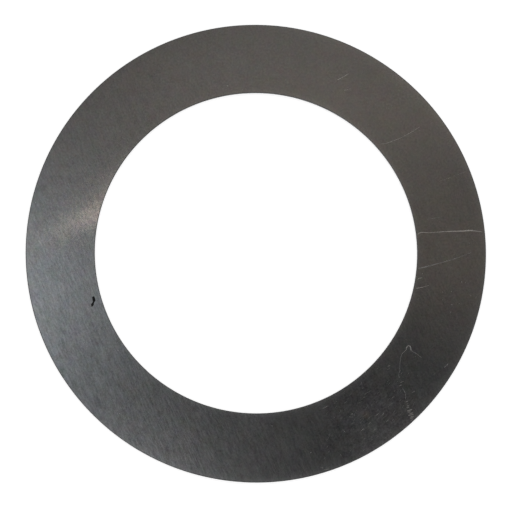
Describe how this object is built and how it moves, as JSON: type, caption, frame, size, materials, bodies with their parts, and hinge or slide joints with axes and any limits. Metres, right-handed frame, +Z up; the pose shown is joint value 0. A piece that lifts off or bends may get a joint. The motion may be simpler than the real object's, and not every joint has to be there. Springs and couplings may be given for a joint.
{
  "type": "shim ring",
  "caption": "Thin flat steel shim ring, a plain annular spacer punched from cold-rolled strip, that takes up end play between a shaft's and a housing's shoulders.",
  "frame": {"origin": "centre of the bore on the lower face, which the ring rests on", "axes": "+Z up along the bore's axis, towards the face with the rounded die roll; X and Y lie in the face and are interchangeable"},
  "size_m": [0.04, 0.04, 0.0005],
  "materials": {
    "steel": "dark bare cold-rolled steel with a fine straight rolling grain, a few handling scratches, and sheared edges"
  },
  "bodies": {
    "root": {"shim_ring": "steel"}
  },
  "joints": []
}
